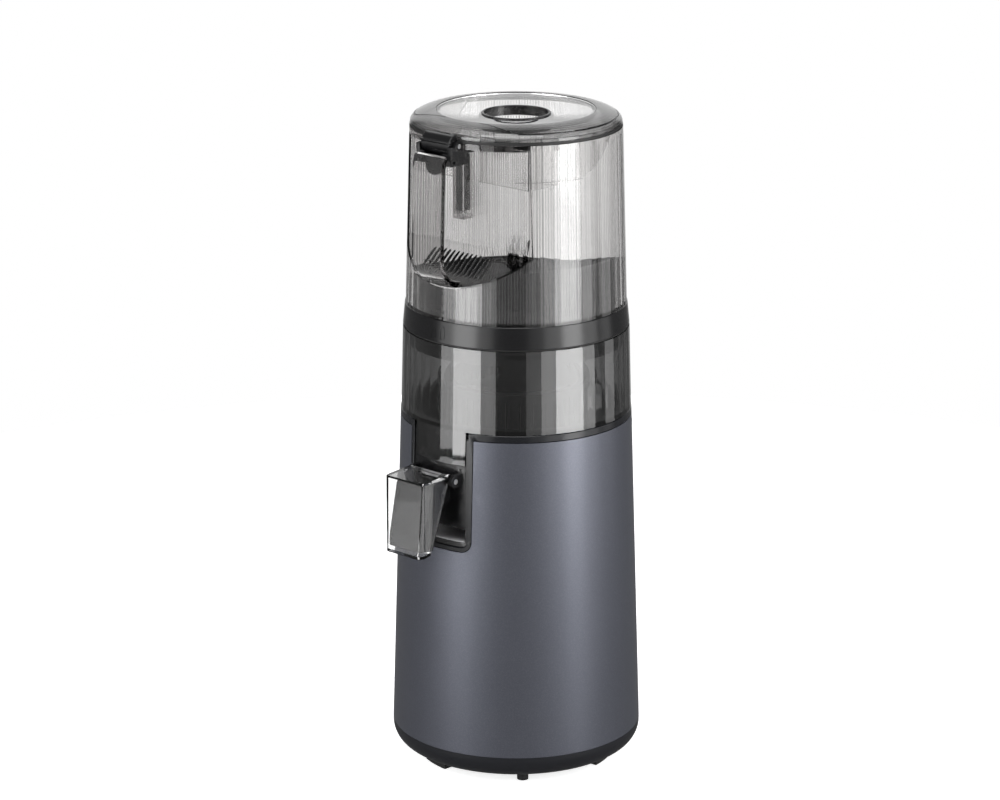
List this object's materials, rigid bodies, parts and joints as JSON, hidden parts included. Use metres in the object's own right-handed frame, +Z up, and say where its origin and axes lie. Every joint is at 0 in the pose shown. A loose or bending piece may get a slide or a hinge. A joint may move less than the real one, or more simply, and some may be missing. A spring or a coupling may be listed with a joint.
{
  "type": "cold press juicer",
  "caption": "Upright cold press juicer with a tapered motor base, clear faceted bowl and tall hopper, carrying handle, hinged lid and a front juice lever.",
  "frame": {"origin": "on the table, where the vertical axis of the motor, screw and hopper meets it, midway between the feet", "axes": "+Z up along the screw's axis; -Y to the front, where the juice outlet and the handle are; +X to the right in a front view"},
  "size_m": [0.1748, 0.2192, 0.4626],
  "materials": {
    "foot_rubber": "matt",
    "cover_plastic": "satin",
    "screw_steel": "satin",
    "body_metallic": "satin metallic",
    "black_plastic": "semi-gloss",
    "trim_plastic": "satin",
    "pad_grey": "matt",
    "dark_rubber": "satin",
    "board_green": "satin",
    "motor_steel": "satin",
    "stator_iron": "matt",
    "bearing_steel": "polished",
    "shaft_steel": "ground",
    "gearbox_alloy": "cast",
    "gear_nylon": "satin",
    "smoke_clear": "clear, smoke tinted",
    "bowl_smoke": "clear, dark smoke tinted",
    "dish_clear": "clear, lightly tinted",
    "seal_silicone": "satin",
    "strainer_plastic": "satin",
    "screw_plastic": "satin",
    "lever_clear": "clear",
    "pull_grey": "satin",
    "collar_plastic": "satin",
    "lid_smoke": "glossy, smoke tinted"
  },
  "bodies": {
    "base": {"feet": "foot_rubber", "bottom_cover": "cover_plastic", "base_screws": "screw_steel", "body_shell": "body_metallic", "cord_gland": "foot_rubber", "switch_frame": "black_plastic", "top_trim": "trim_plastic", "deck": "black_plastic", "recess_floor": "pad_grey", "shaft_seal": "dark_rubber", "control_board": "board_green", "motor_can": "motor_steel", "motor_stator": "stator_iron", "motor_bearings": "bearing_steel", "gear_plate": "gearbox_alloy", "gear_housing": "gearbox_alloy", "idler_pin": "shaft_steel", "output_bearings": "bearing_steel"},
    "rotor": {"motor_rotor": "stator_iron", "motor_shaft": "shaft_steel", "motor_pinion": "shaft_steel", "fan": "black_plastic"},
    "idler": {"double_gear": "gear_nylon"},
    "output": {"output_gear": "shaft_steel", "output_shaft": "shaft_steel"},
    "switch": {"switch_rocker": "black_plastic"},
    "juicing_bowl": {"bowl": "bowl_smoke", "bowl_shaft_seal": "seal_silicone", "outlet_housing": "black_plastic", "pulp_outlet": "black_plastic", "pulp_flap": "seal_silicone", "strainer": "strainer_plastic", "lever_pin": "screw_steel"},
    "juicing_screw": {"screw": "screw_plastic", "drive_insert": "shaft_steel"},
    "lever": {"lever_cover": "lever_clear", "lever_pull": "pull_grey", "lever_stopper": "dark_rubber"},
    "hopper_unit": {"hopper_seal": "dark_rubber", "collar": "collar_plastic", "hopper": "smoke_clear", "funnel": "black_plastic", "handle_bracket": "black_plastic", "bracket_screws": "screw_steel", "hinge_pin": "screw_steel", "trigger_pin": "screw_steel", "rod_spring": "screw_steel"},
    "trigger_body": {"trigger": "black_plastic"},
    "rod": {"interlock_rod": "black_plastic"},
    "lid": {"lid_cover": "lid_smoke", "lid_dish": "dish_clear", "lid_port": "black_plastic", "lid_skirt": "smoke_clear", "lid_hinge": "black_plastic"}
  },
  "joints": [
    {"name": "rotor_spin", "type": "hinge", "parent": "base", "child": "rotor", "pos_m": [0, 0, 0], "axis": [0, 0, 1], "continuous": true},
    {"name": "idler_spin", "type": "hinge", "parent": "base", "child": "idler", "pos_m": [0, 0.0375, 0], "axis": [0, 0, 1], "continuous": true},
    {"name": "output_spin", "type": "hinge", "parent": "base", "child": "output", "pos_m": [0, 0, 0], "axis": [0, 0, 1], "continuous": true},
    {"name": "switch_rock", "type": "hinge", "parent": "base", "child": "switch", "pos_m": [0, 0.08572, 0.07], "axis": [1, 0, 0], "range_deg": [-9, 9]},
    {"name": "bowl_lift", "type": "slide", "parent": "base", "child": "juicing_bowl", "axis": [0, 0, 1], "range_m": [0, 0.09]},
    {"name": "screw_spin", "type": "hinge", "parent": "juicing_bowl", "child": "juicing_screw", "pos_m": [0, 0, 0], "axis": [0, 0, 1], "continuous": true},
    {"name": "lever_swing", "type": "hinge", "parent": "juicing_bowl", "child": "lever", "pos_m": [0, -0.084, 0.2205], "axis": [-1, 0, 0], "range_deg": [0, 75]},
    {"name": "hopper_twist", "type": "hinge", "parent": "juicing_bowl", "child": "hopper_unit", "pos_m": [0, 0, 0], "axis": [0, 0, 1], "range_deg": [0, 28]},
    {"name": "trigger_pull", "type": "hinge", "parent": "hopper_unit", "child": "trigger_body", "pos_m": [0, -0.079, 0.4397], "axis": [1, 0, 0], "range_deg": [0, 12], "stiffness_Nm_per_rad": 0.05, "springref_deg": -5.73},
    {"name": "rod_press", "type": "slide", "parent": "hopper_unit", "child": "rod", "axis": [0, 0, 1], "range_m": [-0.003, 0], "stiffness_N_per_m": 300, "springref_m": 0.002, "deforming": ["rod_spring"]},
    {"name": "lid_open", "type": "hinge", "parent": "hopper_unit", "child": "lid", "pos_m": [0, -0.074, 0.45], "axis": [1, 0, 0], "range_deg": [0, 95]}
  ],
  "couplings": [
    {"joint": "idler_spin", "follows": "rotor_spin", "ratio": -0.25},
    {"joint": "output_spin", "follows": "rotor_spin", "ratio": 0.0625},
    {"joint": "screw_spin", "follows": "rotor_spin", "ratio": 0.0625}
  ]
}
